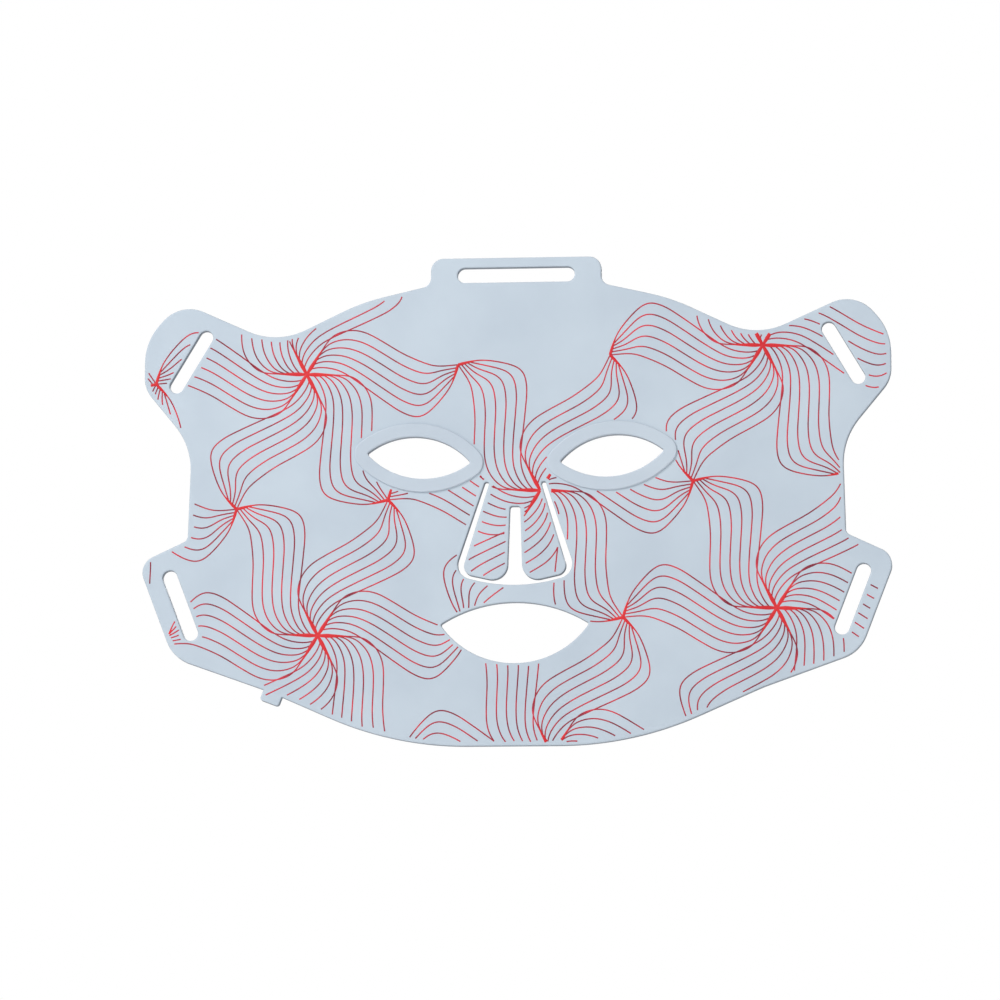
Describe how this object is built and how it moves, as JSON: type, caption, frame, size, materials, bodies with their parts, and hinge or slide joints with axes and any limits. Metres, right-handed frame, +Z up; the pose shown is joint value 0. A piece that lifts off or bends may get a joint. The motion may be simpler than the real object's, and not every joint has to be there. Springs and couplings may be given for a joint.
{
  "type": "led face mask",
  "caption": "Flat flexible silicone light therapy mask with eye, nose and mouth openings, strap slots at forehead and sides, and a line-patterned front.",
  "frame": {"origin": "on the skin side of the sheet, on the mid-line at the top of the nose, between the eyes", "axes": "+X to the right as seen from the printed front, +Y out of the skin side, away from the printed front, +Z up towards the forehead"},
  "size_m": [0.299, 0.0044, 0.1963],
  "materials": {
    "printed_silicone": "soft matt",
    "rim_silicone": "soft matt",
    "skin_silicone": "smooth, milky",
    "circuit_film": "satin film",
    "led_body": "white ceramic",
    "clear_lens": "clear silicone",
    "socket_steel": "plated",
    "socket_insulator": "matt",
    "contact_metal": "gold plated",
    "chip_body": "matt epoxy",
    "capacitor_ceramic": "tan ceramic"
  },
  "bodies": {
    "centre": {"front_cover_centre": "printed_silicone", "back_cover_centre": "skin_silicone", "flex_circuit_centre": "circuit_film", "leds_centre": "led_body", "lenses_centre": "clear_lens", "eye_rim_left": "rim_silicone", "eye_rim_right": "rim_silicone"},
    "left_side": {"front_cover_left_side": "printed_silicone", "back_cover_left_side": "skin_silicone", "flex_circuit_left_side": "circuit_film", "leds_left_side": "led_body", "lenses_left_side": "clear_lens", "inlet_shell": "socket_steel", "inlet_tongue": "socket_insulator", "inlet_contacts": "contact_metal", "driver_chip": "chip_body", "capacitors": "capacitor_ceramic"},
    "right_side": {"front_cover_right_side": "printed_silicone", "back_cover_right_side": "skin_silicone", "flex_circuit_right_side": "circuit_film", "leds_right_side": "led_body", "lenses_right_side": "clear_lens"},
    "forehead_tab": {"front_cover_forehead_tab": "printed_silicone", "back_cover_forehead_tab": "skin_silicone"},
    "upper_left_tab": {"front_cover_upper_left_tab": "printed_silicone", "back_cover_upper_left_tab": "skin_silicone"},
    "upper_right_tab": {"front_cover_upper_right_tab": "printed_silicone", "back_cover_upper_right_tab": "skin_silicone"},
    "lower_left_tab": {"front_cover_lower_left_tab": "printed_silicone", "back_cover_lower_left_tab": "skin_silicone"},
    "lower_right_tab": {"front_cover_lower_right_tab": "printed_silicone", "back_cover_lower_right_tab": "skin_silicone"},
    "nose_left_lobe": {"front_cover_nose_left_lobe": "printed_silicone", "back_cover_nose_left_lobe": "skin_silicone"},
    "nose_right_lobe": {"front_cover_nose_right_lobe": "printed_silicone", "back_cover_nose_right_lobe": "skin_silicone"}
  },
  "joints": [
    {"name": "right_side_wrap", "type": "hinge", "parent": "centre", "child": "right_side", "pos_m": [0.08, 0, 0], "axis": [0, 0, 1], "range_deg": [0, 60], "stiffness_Nm_per_rad": 0.042},
    {"name": "left_side_wrap", "type": "hinge", "parent": "centre", "child": "left_side", "pos_m": [-0.08, 0, 0], "axis": [0, 0, -1], "range_deg": [0, 60], "stiffness_Nm_per_rad": 0.042},
    {"name": "upper_right_tab_fold", "type": "hinge", "parent": "right_side", "child": "upper_right_tab", "pos_m": [0.12287, 0, 0.03559], "axis": [-0.512, 0, 0.859], "range_deg": [0, 45], "stiffness_Nm_per_rad": 0.028},
    {"name": "lower_right_tab_fold", "type": "hinge", "parent": "right_side", "child": "lower_right_tab", "pos_m": [0.12502, 0, -0.05491], "axis": [0.3567, 0, 0.9342], "range_deg": [0, 45], "stiffness_Nm_per_rad": 0.028},
    {"name": "upper_left_tab_fold", "type": "hinge", "parent": "left_side", "child": "upper_left_tab", "pos_m": [-0.12287, 0, 0.03559], "axis": [-0.512, 0, -0.859], "range_deg": [0, 45], "stiffness_Nm_per_rad": 0.028},
    {"name": "lower_left_tab_fold", "type": "hinge", "parent": "left_side", "child": "lower_left_tab", "pos_m": [-0.12502, 0, -0.05491], "axis": [0.3567, 0, -0.9342], "range_deg": [0, 45], "stiffness_Nm_per_rad": 0.028},
    {"name": "forehead_tab_fold", "type": "hinge", "parent": "centre", "child": "forehead_tab", "pos_m": [0, 0, 0.0675], "axis": [-1, 0, 0], "range_deg": [0, 35], "stiffness_Nm_per_rad": 0.043},
    {"name": "nose_right_lobe_lift", "type": "hinge", "parent": "centre", "child": "nose_right_lobe", "pos_m": [0.008, -0.0036, -0.024], "axis": [-1, 0, 0], "range_deg": [0, 45], "stiffness_Nm_per_rad": 0.02},
    {"name": "nose_left_lobe_lift", "type": "hinge", "parent": "centre", "child": "nose_left_lobe", "pos_m": [-0.008, -0.0036, -0.024], "axis": [-1, 0, 0], "range_deg": [0, 45], "stiffness_Nm_per_rad": 0.02}
  ]
}
